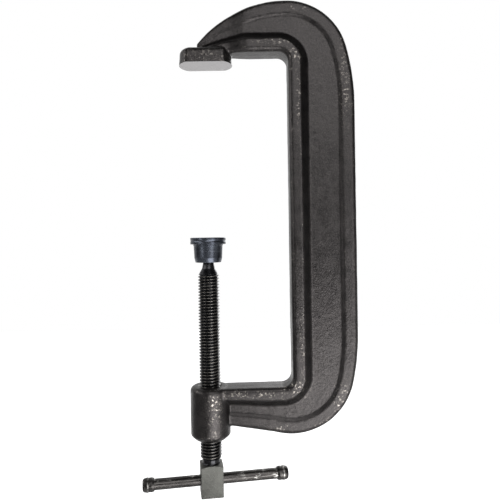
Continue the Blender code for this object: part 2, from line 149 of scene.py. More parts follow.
# Spindle
PITCH = 3.175 * MM
CREST_R = 11.1 * MM
ROOT_R = 9.2 * MM
THREAD_CLEARANCE = 0.4 * MM
TAP_R = CREST_R + THREAD_CLEARANCE
MOUTH_R = TAP_R + COUNTERSINK
ROWS_PER_PITCH = 16
THREAD_SIDES = 72
THREAD_TOP = -216.2 * MM
THREAD_BOTTOM = -410.1 * MM
NECK_R = 5.6 * MM
NECK_BOTTOM = -206.3 * MM
FLARE_RISE = 1.1 * MM
FLARE_SHARE = 0.55
THREAD_START = THREAD_TOP + 0.4 * MM
SHANK_R = 9.2 * MM
SHANK_FILLET = 0.8 * MM
BALL_R = 8.0 * MM
BALL_CENTRE = SCREW_HIGH.z - BALL_R
HEAD_BOTTOM = SCREW_LOW.z
HEAD_TOP = HEAD_BOTTOM + 33.4 * MM
HEAD_FLATS = 23.3 * MM
HEAD_CHAMFER_DROP = 2.3 * MM
BAR_HOLE_R = 6.0 * MM

# Pad, ring, bar and caps
PAD_R = PAD_HIGH.x
PAD_FLANGE_HEIGHT = 7.0 * MM
PAD_STEP_R = 15.5 * MM
PAD_SKIRT_R = 15.1 * MM
PAD_SKIRT_LOW_R = 14.5 * MM
PAD_FOOT_R = 13.4 * MM
PAD_FOOT_HEIGHT = 4.6 * MM
SOCKET_R = 8.35 * MM
GROOVE_R = 9.9 * MM
GROOVE_HALF = 2.3 * MM
RING_SIDES = 96
WIRE_SIDES = 16
BAR_Z = -432.7 * MM
BAR_R = 5.6 * MM
CAP_R = 7.5 * MM
CAP_LENGTH = 12.0 * MM
CAP_WALL = 3.2 * MM
CAP_RIDGE = 5.4 * MM
GAP = 0.3 * MM

# Camera and floor
CAMERA_PLACE = Vector((40.9 * MM, -566.0 * MM, -180.6 * MM))
CAMERA_ROLL = math.radians(0.875)
CAMERA_LENS = 38.88
CAMERA_SHIFT = (0.006, -0.024)
FLOOR_Z = -950.0 * MM
FLOOR_REACH = 4.0
FLOOR_GLOW_FADE = (0.70, 1.0)

# Lights: azimuth (0 in front, 90 on the +X side), elevation, distance, size, power
LIGHTS = {
    "low_key": (25.0, -30.0, 1.0, (0.75, 0.45), 9.5),
    "high_key": (12.0, 30.0, 1.3, (0.95, 0.75), 8.5),
    "mid_key": (32.0, 0.0, 1.3, (0.4, 0.55), 3.2),
    "left": (-47.0, 4.0, 1.3, (0.25, 0.5), 2.4),
    "upper_left": (-78.0, 22.0, 1.2, (0.8, 0.5), 5.0),
    "right": (80.0, -15.0, 1.3, (1.2, 1.0), 2.0),
    "back": (155.0, 22.0, 1.3, (0.9, 0.9), 7.0),
}


# Shapes

def new_object(name, mesh):
    """A new object in the scene."""
    obj = bpy.data.objects.new(name, mesh)
    bpy.context.scene.collection.objects.link(obj)
    return obj


def grid_mesh(name, rings):
    """A closed skin over rings of points, with a fan to the middle at each end."""
    rings = np.asarray(rings, float)
    count, sides, _ = rings.shape
    places = np.concatenate((rings.reshape(-1, 3), rings[0].mean(0)[None], rings[-1].mean(0)[None]))
    index = np.arange(count * sides).reshape(count, sides)
    beside = np.roll(index, -1, axis=1)
    quads = np.stack((index[:-1], beside[:-1], beside[1:], index[1:]), axis=-1).reshape(-1, 4)
    first, last = count * sides, count * sides + 1
    faces = quads.tolist()
    faces += [(first, b, a) for a, b in zip(index[0].tolist(), beside[0].tolist())]
    faces += [(last, a, b) for a, b in zip(index[-1].tolist(), beside[-1].tolist())]
    mesh = bpy.data.meshes.new(name)
    mesh.from_pydata(places.tolist(), [], faces)
    bm = bmesh.new()
    bm.from_mesh(mesh)
    bmesh.ops.recalc_face_normals(bm, faces=bm.faces)
    bm.to_mesh(mesh)
    bm.free()
    return mesh


def arc(centre, radius, start, end, steps):
    """Points on an arc in a plane, with the angles in degrees."""
    points = []
    for i in range(steps + 1):
        angle = math.radians(start + (end - start) * i / steps)
        points.append(centre + radius * Vector((math.cos(angle), math.sin(angle))))
    return points


def rounded(corners, steps):
    """A path through (x, y, radius) corners, with each corner that has a radius rounded off."""
    points = []
    for i, (x, y, radius) in enumerate(corners):
        here = Vector((x, y))
        if radius == 0.0:
            points.append(here)
            continue
        before = (Vector(corners[i - 1][:2]) - here).normalized()
        after = (Vector(corners[i + 1][:2]) - here).normalized()
        half = before.angle(after) / 2
        centre = here + (before + after).normalized() * radius / math.sin(half)
        first = here + before * radius / math.tan(half) - centre
        last = here + after * radius / math.tan(half) - centre
        sweep = first.angle_signed(last)
        for k in range(steps + 1):
            points.append(centre + Matrix.Rotation(-sweep * k / steps, 2) @ first)
    return points


def turned_angles(sides):
    return np.linspace(0.0, 2 * math.pi, sides, endpoint=False)


def turned_ring(radius, z, angles):
    """A level ring of points round Z. The radius is one number, or one for each angle."""
    return np.stack((radius * np.cos(angles), radius * np.sin(angles), np.full(len(angles), z)), axis=1)


def lathe(name, profile, sides):
    """A solid of revolution about Z. The profile is (radius, z) points, both ends near the axis."""
    angles = turned_angles(sides)
    return new_object(name, grid_mesh(name, [turned_ring(radius, z, angles) for radius, z in profile]))


def bake(obj):
    """Applies an object's modifiers to its mesh."""
    graph = bpy.context.evaluated_depsgraph_get()
    mesh = bpy.data.meshes.new_from_object(obj.evaluated_get(graph))
    obj.modifiers.clear()
    obj.data = mesh


def cut(obj, operation, other):
    """Applies a boolean with another object, which is then gone."""
    modifier = obj.modifiers.new("Boolean", "BOOLEAN")
    modifier.operation = operation
    modifier.solver = "EXACT"
    modifier.object = other
    bake(obj)
    bpy.data.objects.remove(other, do_unlink=True)
    return obj


def get_places(mesh):
    places = np.empty(len(mesh.vertices) * 3)
    mesh.vertices.foreach_get("co", places)
    return places.reshape(-1, 3)


def relaxed(mesh, places, rounds, shares):
    """Vertex places after each has moved towards the mean of its neighbours, again and again."""
    edges = np.empty(len(mesh.edges) * 2, int)
    mesh.edges.foreach_get("vertices", edges)
    one, two = edges.reshape(-1, 2).T
    here = np.concatenate((one, two))
    there = np.concatenate((two, one))
    count = len(places)
    degree = np.maximum(np.bincount(here, minlength=count), 1)[:, None]
    places = places.copy()
    for _ in range(rounds):
        for share in shares:
            sums = np.stack([np.bincount(here, places[there, i], count) for i in range(3)], axis=1)
            places += share * (sums / degree - places)
    return places


def get_normals(mesh):
    normals = np.empty(len(mesh.vertices) * 3)
    mesh.vertex_normals.foreach_get("vector", normals)
    return normals.reshape(-1, 3)


def store(mesh, name, values):
    attribute = mesh.attributes.new(name, "FLOAT", "POINT")
    attribute.data.foreach_set("value", np.asarray(values, np.float32))


def waves(places, size, seed):
    """Smooth noise, about -1 to 1, with lumps of that size in metres."""
    shift = Vector((seed * 7.3, seed * 3.1, seed * 5.7))
    return np.array([noise.noise(Vector(p) / size + shift) for p in places.tolist()]) * 1.6


def roughen(mesh, lumps):
    """Moves vertices along their normals by smooth noise: (height, size, seed) for each layer."""
    places = get_places(mesh)
    height = sum(h * waves(places, size, seed) for h, size, seed in lumps)
    mesh.vertices.foreach_set("co", (places + get_normals(mesh) * height[:, None]).ravel())
    mesh.update()


def measure_ridges(mesh, rounds):
    """Stores how far each vertex stands above (or below) a smoothed copy of the skin, in millimetres."""
    places = get_places(mesh)
    smooth = relaxed(mesh, places, rounds, (0.6,))
    height = ((places - smooth) * get_normals(mesh)).sum(1) / MM
    store(mesh, "ridge", height)


def measure_rubbing(mesh):
    """Stores where handling has rubbed the forging: 1 in the middle of a zone, fading out round it."""
    places = get_places(mesh)
    rub = np.zeros(len(places))
    for x, z, reach_x, reach_z, strength in RUBBED:
        across = (places[:, 0] - x * MM) / (reach_x * MM)
        along = (places[:, 2] - z * MM) / (reach_z * MM)
        rub = np.maximum(rub, strength * np.exp(-(across ** 2 + along ** 2)))
    store(mesh, "rub", np.where(places[:, 1] < 0.0, rub, BACK_RUB * rub))


def finish_piece(obj, body, nodes, materials, angle=30.0):
    """Gives a piece its materials and shading, and says what it rides on, replaces and is made of."""
    obj.data.materials.clear()
    for material in materials:
        obj.data.materials.append(material)
    obj.data.shade_smooth()
    obj.data.set_sharp_from_angle(angle=math.radians(angle))
    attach(obj, body)
    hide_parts(*nodes)


# Frame

def corner_outline(apex_z, radius, shoulder_angle, side):
    """One outer corner, from its apex to the spine; side is 1 for the upper and -1 for the lower one."""
    centre = Vector((APEX_X, apex_z - side * radius))
    angle = math.radians(shoulder_angle)
    meet = centre + radius * Vector((math.cos(angle), side * math.sin(angle)))
    shoulder_r = (SPINE_OUTER - meet.x) / (1 - math.cos(angle))
    shoulder_centre = Vector((SPINE_OUTER - shoulder_r, meet.y - side * shoulder_r * math.sin(angle)))
    points = arc(centre, radius, side * 90.0, side * shoulder_angle, 48)[:-1]
    return points + arc(shoulder_centre, shoulder_r, side * shoulder_angle, 0.0, 16)


def outer_outline():
    """The frame's outer edge in X and Z, from above the anvil round to the underside of the lower arm."""
    crown_centre = Vector((APEX_X, FRAME_TOP - CROWN_R))
    start = 90.0 + math.degrees(math.asin((APEX_X - ARM_START_X + 2 * MM) / CROWN_R))
    points = arc(crown_centre, CROWN_R, start, 90.0, 56)[:-1]
    points += corner_outline(FRAME_TOP, UPPER_CORNER_R, UPPER_SHOULDER_ANGLE, 1)
    points += reversed(corner_outline(FRAME_BOTTOM, LOWER_CORNER_R, LOWER_SHOULDER_ANGLE, -1))
    break_centre = Vector((APEX_X, FRAME_BOTTOM + LOWER_CORNER_R))
    points += arc(break_centre, LOWER_CORNER_R, -90.0, -90.0 - LOWER_ARM_BREAK_ANGLE, 10)[1:]
    run = points[-1].x - ARM_END_X + 2 * MM
    points.append(points[-1] + run * Vector((-1.0, math.tan(math.radians(LOWER_ARM_SLOPE)))))
    return points


def distance_to_outline(start, direction, outline):
    """How far a ray runs before it meets the outline."""
    ends = np.array([tuple(p) for p in outline])
    first, edge = ends[:-1], ends[1:] - ends[:-1]
    cross = direction.x * edge[:, 1] - direction.y * edge[:, 0]
    cross[np.abs(cross) < 1e-12] = np.nan
    to_first = first - np.array(start)
    along = (to_first[:, 0] * edge[:, 1] - to_first[:, 1] * edge[:, 0]) / cross
    share = (to_first[:, 0] * direction.y - to_first[:, 1] * direction.x) / cross
    met = (along > 0.0) & (share >= -1e-6) & (share <= 1 + 1e-6)
    return float(along[met].min())


def frame_stations():
    """(point on the inner edge, direction across the frame, neck factor) all along the C."""
    corner_x = SPINE_INNER - INNER_CORNER_R
    upper = Vector((corner_x, UPPER_ARM_UNDERSIDE - INNER_CORNER_R))
    lower = Vector((corner_x, LOWER_ARM_TOP + INNER_CORNER_R))
    stations = []
    for x in np.linspace(ARM_START_X, corner_x, 60):
        share = min(max((x - NECK_START_X) / (NECK_END_X - NECK_START_X), 0.0), 1.0)
        factor = NECK_FACTOR + (1 - NECK_FACTOR) * share * share * (3 - 2 * share)
        stations.append((Vector((x, UPPER_ARM_UNDERSIDE)), Vector((0.0, 1.0)), factor))
    for across in arc(Vector((0.0, 0.0)), 1.0, 90.0, 0.0, 40)[1:]:
        stations.append((upper + across * INNER_CORNER_R, across, 1.0))
    for z in np.linspace(upper.y, lower.y, 120)[1:]:
        stations.append((Vector((SPINE_INNER, z)), Vector((1.0, 0.0)), 1.0))
    for across in arc(Vector((0.0, 0.0)), 1.0, 0.0, -90.0, 40)[1:]:
        stations.append((lower + across * INNER_CORNER_R, across, 1.0))
    for share in np.linspace(0.0, 1.0, 40)[1:]:
        x = corner_x + (ARM_END_X - corner_x) * share
        stations.append((Vector((x, LOWER_ARM_TOP - LOWER_ARM_DROP * share)), Vector((0.0, -1.0)), 1.0))
    return stations


def half_section(length, factor):
    """Half of the I-section: (distance from the inner edge, height above the middle plane)."""
    scale = min(1.0, length / FULL_SECTION)
    bead = BEAD_HALF * factor
    rib = RIB_HALF * (0.6 + 0.4 * scale) * factor
    web = min(WEB_HALF, rib * 0.8)
    return rounded([
        (0.0, 0.0, 0.0),
        (BEAD_DRAFT * scale, bead, 4.8 * MM * scale),
        (BEAD_WIDTH * scale, bead, 3.4 * MM * scale),
        (BEAD_FOOT * scale, web, 4.0 * MM * scale),
        (length - RIB_FOOT * scale, web, 3.0 * MM * scale),
        (length - RIB_WIDTH * scale, rib, 3.0 * MM * scale),
        (length - RIB_DRAFT * scale, rib, 5.0 * MM * scale),
        (length, 0.0, 0.0),
    ], 8)


def frame_bar():
    """The forged C: the I-section carried along the inner edge and stretched to the outer edge."""
    outline = outer_outline()
    rings = []
    for start, across, factor in frame_stations():
        half = half_section(distance_to_outline(start, across, outline), factor)
        section = half + [Vector((p.x, -p.y)) for p in reversed(half[1:-1])]
        rings.append([(start.x + across.x * p.x, p.y, start.y + across.y * p.x) for p in section])
    return grid_mesh("bar", rings)


def anvil_block(spare):
    """The anvil, straight in front and bowed at its ends, reaching below its finished face by spare."""
    half = ANVIL_LENGTH / 2
    bow = half - ANVIL_FLAT / 2
    end_r = (ANVIL_DEPTH * ANVIL_DEPTH / 4 + bow * bow) / (2 * bow)
    sweep = math.degrees(math.asin(ANVIL_DEPTH / 2 / end_r))
    outline = arc(Vector((half - end_r, 0.0)), end_r, -sweep, sweep, 24)
    outline += arc(Vector((end_r - half, 0.0)), end_r, 180.0 - sweep, 180.0 + sweep, 24)
    corner = arc(Vector((ANVIL_TOP_R, ANVIL_HEIGHT - ANVIL_TOP_R)), ANVIL_TOP_R, 180.0, 90.0, 10)
    rings = []
    for inset, z in [(0.0, -spare), (0.0, 0.0)] + [tuple(p) for p in corner]:
        inset += ANVIL_DRAFT * max(z, 0.0) / ANVIL_HEIGHT
        along, across = 1.0 - inset / half, 1.0 - 2 * inset / ANVIL_DEPTH
        rings.append([(ANVIL_CENTRE_X + p.x * along, p.y * across, z) for p in outline])
    return grid_mesh("block", rings)


def joined(name, meshes):
    """One object made of several meshes, not yet merged where they overlap."""
    bm = bmesh.new()
    for mesh in meshes:
        bm.from_mesh(mesh)
    whole = bpy.data.meshes.new(name)
    bm.to_mesh(whole)
    bm.free()
    return new_object(name, whole)


def thread_radius(z, angles, crest, root):
    """The thread's radius at one height, all round: crest flats, straight flanks and a narrow root flat."""
    phase = (z / PITCH - angles / (2 * math.pi)) % 1.0
    from_root = np.abs(phase - 0.5) * 2
    rise = np.clip((from_root - 0.10) / 0.74, 0.0, 1.0)
    return root + (crest - root) * (rise + 0.12 * rise * (1 - rise))


def thread_rings(top, bottom, crest, root, envelope):
    """Rings of a threaded rod from top to bottom; envelope(z) is the most that the radius may be."""
    angles = turned_angles(THREAD_SIDES)
    rows = int(round((top - bottom) / PITCH * ROWS_PER_PITCH))
    return [turned_ring(np.minimum(thread_radius(z, angles, crest, root), envelope(z)), z, angles)
            for z in np.linspace(top, bottom, rows + 1)]


def boss_blank():
    corner = arc(Vector((BOSS_R - BOSS_RIM_R, BOSS_TOP - BOSS_RIM_R)), BOSS_RIM_R, 90.0, 0.0, 10)
    profile = [(AXIS_R, BOSS_TOP)] + [tuple(p) for p in corner]
    profile += [
        (BOSS_R, BOSS_BOTTOM + BOSS_CHAMFER_HEIGHT),
        (BOSS_R - BOSS_CHAMFER, BOSS_BOTTOM),
        (AXIS_R, BOSS_BOTTOM),
    ]
    return lathe("boss", profile, 120)


def machine_boss(obj):
    """Countersinks both ends of the boss, then taps it."""
    for name, end, side in (("top_sink", BOSS_TOP, 1), ("low_sink", BOSS_BOTTOM, -1)):
        deep = 3 * COUNTERSINK
        cut(obj, "DIFFERENCE", lathe(name, [
            (AXIS_R, end + side * deep),
            (MOUTH_R + deep, end + side * deep),
            (MOUTH_R - deep, end - side * deep),
            (AXIS_R, end - side * deep),
        ], 96))
    rings = thread_rings(BOSS_TOP + 2 * PITCH, BOSS_BOTTOM - 2 * PITCH, TAP_R, ROOT_R + THREAD_CLEARANCE,
                         lambda z: TAP_R)
    cut(obj, "DIFFERENCE", new_object("tap", grid_mesh("tap", rings)))


def build_frame():
    """The forging: one dented skin over bar, boss and anvil, then the machined faces and the thread."""
    boss = boss_blank()
    obj = joined("forged_frame", [frame_bar(), boss.data, anvil_block(ANVIL_SPARE)])
    bpy.data.objects.remove(boss, do_unlink=True)
    remesh = obj.modifiers.new("Skin", "REMESH")
    remesh.mode = "VOXEL"
    remesh.voxel_size = SKIN_VOXEL
    bake(obj)
    mesh = obj.data
    places = relaxed(mesh, get_places(mesh), 5, (0.5, -0.52))
    places = relaxed(mesh, places, 2, (0.5,))
    mesh.vertices.foreach_set("co", places.ravel())
    mesh.update()
    measure_ridges(mesh, 22)
    measure_rubbing(mesh)
    roughen(mesh, [(0.10 * MM, 14 * MM, 1), (0.05 * MM, 5 * MM, 2)])
    keep_in_box(mesh)

    below = box_mesh(Vector((-50.0, -50.0, -20.0)) * MM, Vector((50.0, 50.0, 0.0)) * MM)
    cut(obj, "DIFFERENCE", new_object("below_anvil", below))
    machine_boss(obj)
    finish_piece(obj, "frame", ["frame"], [forged_skin(), ground_steel(), cut_thread()], 40.0)
    for face in obj.data.polygons:
        centre = face.center
        if abs(centre.z) < 0.02 * MM and face.normal.z < -0.9:
            face.material_index = 1
        elif math.hypot(centre.x, centre.y) < MOUTH_R + 0.2 * MM and centre.z < BOSS_TOP + MM:
            face.material_index = 2


def box_mesh(low, high):
    bm = bmesh.new()
    middle, size = (low + high) / 2, high - low
    bmesh.ops.create_cube(bm, size=1.0, matrix=Matrix.Translation(middle) @ Matrix.Diagonal((*size, 1.0)))
    mesh = bpy.data.meshes.new("box")
    bm.to_mesh(mesh)
    bm.free()
    return mesh


def keep_in_box(mesh):
    """Holds the forging's skin inside the CAD node's own box, apart from the anvil's spare depth."""
    places = get_places(mesh)
    places[:, 0] = np.clip(places[:, 0], FRAME_LOW.x, FRAME_HIGH.x)
    places[:, 1] = np.clip(places[:, 1], FRAME_LOW.y, FRAME_HIGH.y)
    places[:, 2] = np.clip(places[:, 2], FRAME_LOW.z, FRAME_HIGH.z)
    mesh.vertices.foreach_set("co", places.ravel())
    mesh.update()


# Spindle

def ball_rings():
    """Rings from the ball's tip down its neck to the top of the thread."""
    angles = turned_angles(THREAD_SIDES)
    low = math.degrees(math.asin(NECK_R / BALL_R)) - 90.0
    profile = [tuple(p) for p in arc(Vector((0.0, BALL_CENTRE)), BALL_R, 89.5, low, 30)]
    profile += [(NECK_R, NECK_BOTTOM + share * (profile[-1][1] - NECK_BOTTOM)) for share in (0.5, 0.1)]
    flare = rounded([
        (NECK_R, NECK_BOTTOM + MM, 0.0),
        (NECK_R, NECK_BOTTOM, 0.5 * MM),
        (NECK_R + FLARE_RISE, NECK_BOTTOM + (THREAD_TOP - NECK_BOTTOM) * FLARE_SHARE, 3.0 * MM),
        (ROOT_R, THREAD_START, 0.0),
    ], 6)
    profile += [tuple(p) for p in flare[1:]]
    return [turned_ring(radius, z, angles) for radius, z in profile]


def screw_envelope(z):
    """The blank's radius: a cone into the thread at the top, a short run-out at the bottom."""
    top = ROOT_R + (THREAD_TOP - z) / 1.6
    bottom = SHANK_R + max(z - THREAD_BOTTOM, 0.0) * 1.4
    return max(min(CREST_R, top, bottom), 0.5 * MM)


def square_head(turn):
    """The square head with softened edges and its top corners turned to a cone."""
    middle = (HEAD_TOP + HEAD_BOTTOM) / 2
    bm = bmesh.new()
    place = Matrix.Translation((0.0, 0.0, middle)) @ Matrix.Rotation(turn, 4, "Z")
    size = Matrix.Diagonal((HEAD_FLATS, HEAD_FLATS, HEAD_TOP - HEAD_BOTTOM, 1.0))
    bmesh.ops.create_cube(bm, size=1.0, matrix=place @ size)
    bmesh.ops.bevel(bm, geom=bm.edges[:], offset=0.7 * MM, segments=3, profile=0.5, affect="EDGES")
    mesh = bpy.data.meshes.new("head")
    bm.to_mesh(mesh)
    bm.free()
    head = new_object("head", mesh)
    inner = HEAD_FLATS / 2 - 0.4 * MM
    corner = HEAD_FLATS / math.sqrt(2)
    run = corner - inner
    cone = lathe("cone", [(AXIS_R, HEAD_TOP), (inner, HEAD_TOP),
                          (corner + run, HEAD_TOP - 2 * HEAD_CHAMFER_DROP),
                          (corner + run, HEAD_BOTTOM - 2 * MM), (AXIS_R, HEAD_BOTTOM - 2 * MM)], 128)
    return cut(head, "INTERSECT", cone)


def build_spindle(turn):
    """One turned piece: ball, neck, thread and shank, with the square head and its cross hole."""
    angles = turned_angles(THREAD_SIDES)
    shank = [
        (SHANK_R, THREAD_BOTTOM - MM),
        (SHANK_R, HEAD_TOP + 1.2 * MM),
        (SHANK_R + 0.25 * MM, HEAD_TOP + 0.5 * MM),
        (SHANK_R + SHANK_FILLET, HEAD_TOP),
        (SHANK_R + SHANK_FILLET, HEAD_TOP - 2 * MM),
    ]
    rings = ball_rings() + thread_rings(THREAD_START, THREAD_BOTTOM, CREST_R, ROOT_R, screw_envelope)
    rings += [turned_ring(radius, z, angles) for radius, z in shank]
    obj = new_object("spindle_screw", grid_mesh("spindle_screw", rings))
    cut(obj, "UNION", square_head(turn))
    hole = lathe("hole", [(AXIS_R, -HEAD_FLATS), (BAR_HOLE_R, -HEAD_FLATS),
                          (BAR_HOLE_R, HEAD_FLATS), (AXIS_R, HEAD_FLATS)], 64)
    hole.matrix_world = (Matrix.Translation((0.0, 0.0, BAR_Z)) @ Matrix.Rotation(turn, 4, "Z")
                         @ Matrix.Rotation(math.pi / 2, 4, "Y"))
    cut(obj, "DIFFERENCE", hole)
    finish_piece(obj, "spindle", ["spindle"], [black_oxide(), milled_steel(turn)])
    for face in obj.data.polygons:
        if face.center.z < HEAD_TOP + 0.05 * MM:
            face.material_index = 1


# Pad and ring

def build_pad():
    """The swivel pad: a waisted flange, a step, a tapered skirt with turning marks, and the socket inside."""
    top, bottom = PAD_HIGH.z, PAD_LOW.z
    step_z = top - PAD_FLANGE_HEIGHT
    waist = 0.45 * MM
    ring_z = (RING_LOW.z + RING_HIGH.z) / 2
    outside = rounded([
        (0.05 * MM, top, 0.0),
        (PAD_R, top, 0.7 * MM),
        (PAD_R - 0.1 * MM, top - 2.3 * MM, 0.5 * MM),
        (PAD_R - waist, top - 3.4 * MM, 0.8 * MM),
        (PAD_R - 0.1 * MM, top - 4.5 * MM, 0.5 * MM),
        (PAD_R, step_z, 0.7 * MM),
        (PAD_STEP_R, step_z - 0.05 * MM, 0.4 * MM),
        (PAD_STEP_R, step_z - 1.3 * MM, 0.3 * MM),
        (PAD_SKIRT_R, step_z - 1.6 * MM, 0.3 * MM),
        (PAD_SKIRT_LOW_R, bottom + PAD_FOOT_HEIGHT, 0.5 * MM),
        (PAD_FOOT_R, bottom, 0.5 * MM),
        (SOCKET_R, bottom, 0.5 * MM),
        (SOCKET_R, ring_z - GROOVE_HALF, 0.15 * MM),
        (GROOVE_R, ring_z - GROOVE_HALF, 0.15 * MM),
        (GROOVE_R, ring_z + GROOVE_HALF, 0.15 * MM),
        (SOCKET_R, ring_z + GROOVE_HALF, 0.15 * MM),
        (SOCKET_R, BALL_CENTRE, 0.0),
    ], 4)
    dome = arc(Vector((0.0, BALL_CENTRE)), SOCKET_R, 2.0, 89.5, 18)
    profile = []
    for a, b in zip(outside, outside[1:]):
        steps = max(1, int((b - a).length / (1.2 * MM)))
        profile += [a + (b - a) * k / steps for k in range(steps)]
    profile = [tuple(p) for p in profile + dome]
    obj = lathe("turned_pad", profile, 128)
    finish_piece(obj, "pad", ["swivel_pad"], [blued_steel()])


def build_ring():
    """The round wire ring that holds the ball in its socket."""
    wire = (RING_HIGH.z - RING_LOW.z) / 2
    major = RING_HIGH.x - wire
    turns = turned_angles(RING_SIDES)
    around = turned_angles(WIRE_SIDES)
    places = [((major + wire * math.cos(a)) * math.cos(t), (major + wire * math.cos(a)) * math.sin(t),
               RING_LOW.z + wire + wire * math.sin(a)) for t in turns for a in around]
    faces = []
    for i in range(RING_SIDES):
        near, far = i * WIRE_SIDES, (i + 1) % RING_SIDES * WIRE_SIDES
        for j in range(WIRE_SIDES):
            beside = (j + 1) % WIRE_SIDES
            faces.append((near + j, far + j, far + beside, near + beside))
    mesh = bpy.data.meshes.new("wire_ring")
    mesh.from_pydata(places, [], faces)
    finish_piece(new_object("wire_ring", mesh), "screw_carriage",
                 ["retaining_ring"], [spring_wire()])


# Bar and caps

def handle_place():
    """Where the handle's own frame stands: its Z runs along the bar, from the middle of the head."""
    axis = Vector(JOINTS["bar_slide"]["axis"]).normalized()
    return Matrix.Translation((0.0, 0.0, BAR_Z)) @ UP.rotation_difference(axis).to_matrix().to_4x4(), axis


def ends_along(axis, nodes):
    """The least and the most that these CAD nodes reach along the bar, from the middle of the head."""
    reach = []
    for node in nodes:
        for v in frame["nodes"][node].data.vertices:
            reach.append((v.co - Vector((0.0, 0.0, BAR_Z))).dot(axis))
    return min(reach), max(reach)


def place_handle_piece(obj, place, node, material):
    obj.matrix_world = place
    finish_piece(obj, "handle", [node], [material])


def build_bar(place, axis):
    low, high = ends_along(axis, ["slide_bar"])
    edge = 0.6 * MM
    heights = np.linspace(low + edge, high - edge, 110)
    profile = ([(AXIS_R, low), (BAR_R - edge, low)] + [(BAR_R, z) for z in heights]
               + [(BAR_R - edge, high), (AXIS_R, high)])
    obj = lathe("slide_rod", profile, 64)
    roughen(obj.data, [(0.035 * MM, 9 * MM, 3), (0.02 * MM, 3 * MM, 4)])
    place_handle_piece(obj, place, "slide_bar", bar_steel())


def build_cap(place, axis, node, name, side):
    """A pressed-on cap: a domed end, a ridge round it, and a collar that flares down to the bar."""
    low, high = ends_along(axis, [node])
    end = high if side > 0 else -low
    mouth = end - CAP_LENGTH
    bore = BAR_R + GAP
    outside = rounded([
        (0.02 * MM, end, 0.0),
        (CAP_R - 1.2 * MM, end - 0.1 * MM, 2.6 * MM),
        (CAP_R, end - 5.2 * MM, 2.4 * MM),
        (CAP_R - 0.5 * MM, end - 6.6 * MM, 0.4 * MM),
        (CAP_R - 0.25 * MM, end - 9.6 * MM, 1.0 * MM),
        (bore + 0.6 * MM, mouth, 0.25 * MM),
        (bore, mouth, 0.0),
        (bore, end - CAP_WALL, 0.0),
        (0.02 * MM, end - CAP_WALL, 0.0),
    ], 8)
    profile = [(p.x, side * p.y) for p in outside]
    obj = lathe(name, profile, 64)
    ridge_z = side * (end - CAP_RIDGE)
    # the ridge band is rubbed wear and a painted highlight, painted brighter on the right cap than on the
    # left
    ring_wear_and_highlight = 0.9 if side > 0 else 0.3
    place_handle_piece(obj, place, node, cap_steel(ridge_z, ring_wear_and_highlight))


# Materials

class Nodes:
    """Short calls for building a material's node tree."""

    def __init__(self, name):
        self.material = bpy.data.materials.new(name)
        self.material.use_nodes = True
        self.tree = self.material.node_tree
        self.shader = self.tree.nodes["Principled BSDF"]
        self.coords = self.tree.nodes.new("ShaderNodeTexCoord").outputs["Object"]

    def link(self, out, into):
        self.tree.links.new(out, into)

    def set(self, **values):
        for name, value in values.items():
            self.shader.inputs[name.replace("_", " ")].default_value = value

    def noise(self, scale, detail=3.0, rough=0.5, stretch=(1.0, 1.0, 1.0), turn=0.0):
        """Noise with lumps of 1 / scale metres; stretch multiplies the scale along each axis."""
        mapping = self.tree.nodes.new("ShaderNodeMapping")
        mapping.inputs["Scale"].default_value = stretch
        mapping.inputs["Rotation"].default_value = (0.0, 0.0, turn)
        self.link(self.coords, mapping.inputs["Vector"])
        node = self.tree.nodes.new("ShaderNodeTexNoise")
        node.inputs["Scale"].default_value = scale
        node.inputs["Detail"].default_value = detail
        node.inputs["Roughness"].default_value = rough
        self.link(mapping.outputs["Vector"], node.inputs["Vector"])
        return node.outputs["Fac"]

    def part(self, axis):
        """One of the object's coordinates, in metres."""
        node = self.tree.nodes.new("ShaderNodeSeparateXYZ")
        self.link(self.coords, node.inputs["Vector"])
        return node.outputs[axis]

    def radius(self):
        """The distance from the object's Z axis."""
        flat = self.tree.nodes.new("ShaderNodeVectorMath")
        flat.operation = "MULTIPLY"
        flat.inputs[1].default_value = (1.0, 1.0, 0.0)
        self.link(self.coords, flat.inputs[0])
        length = self.tree.nodes.new("ShaderNodeVectorMath")
        length.operation = "LENGTH"
        self.link(flat.outputs["Vector"], length.inputs[0])
        return length.outputs["Value"]

    def attribute(self, name):
        node = self.tree.nodes.new("ShaderNodeAttribute")
        node.attribute_name = name
        return node.outputs["Fac"]

    def ramp(self, value, low, high, to_low=0.0, to_high=1.0):
        node = self.tree.nodes.new("ShaderNodeMapRange")
        node.interpolation_type = "SMOOTHSTEP"
        for name, number in (("From Min", low), ("From Max", high), ("To Min", to_low), ("To Max", to_high)):
            node.inputs[name].default_value = number
        self.link(value, node.inputs["Value"])
        return node.outputs["Result"]

    def math(self, operation, one, two):
        node = self.tree.nodes.new("ShaderNodeMath")
        node.operation = operation
        node.use_clamp = operation in ("MULTIPLY", "ADD")
        for value, socket in ((one, node.inputs[0]), (two, node.inputs[1])):
            if isinstance(value, (int, float)):
                socket.default_value = value
            else:
                self.link(value, socket)
        return node.outputs["Value"]

    def mix(self, share, one, two):
        """Mixes two colours, each a colour or a socket."""
        node = self.tree.nodes.new("ShaderNodeMix")
        node.data_type = "RGBA"
        self.link(share, node.inputs["Factor"])
        for value, socket in ((one, node.inputs[6]), (two, node.inputs[7])):
            if isinstance(value, tuple):
                socket.default_value = (*value, 1.0)
            else:
                self.link(value, socket)
        return node.outputs[2]

    def bump(self, *layers):
        """Bumps from (height socket, depth in metres) layers, one on another."""
        normal = None
        for height, depth in layers:
            node = self.tree.nodes.new("ShaderNodeBump")
            node.inputs["Distance"].default_value = depth
            self.link(height, node.inputs["Height"])
            if normal is not None:
                self.link(normal, node.inputs["Normal"])
            normal = node.outputs["Normal"]
        self.link(normal, self.shader.inputs["Normal"])


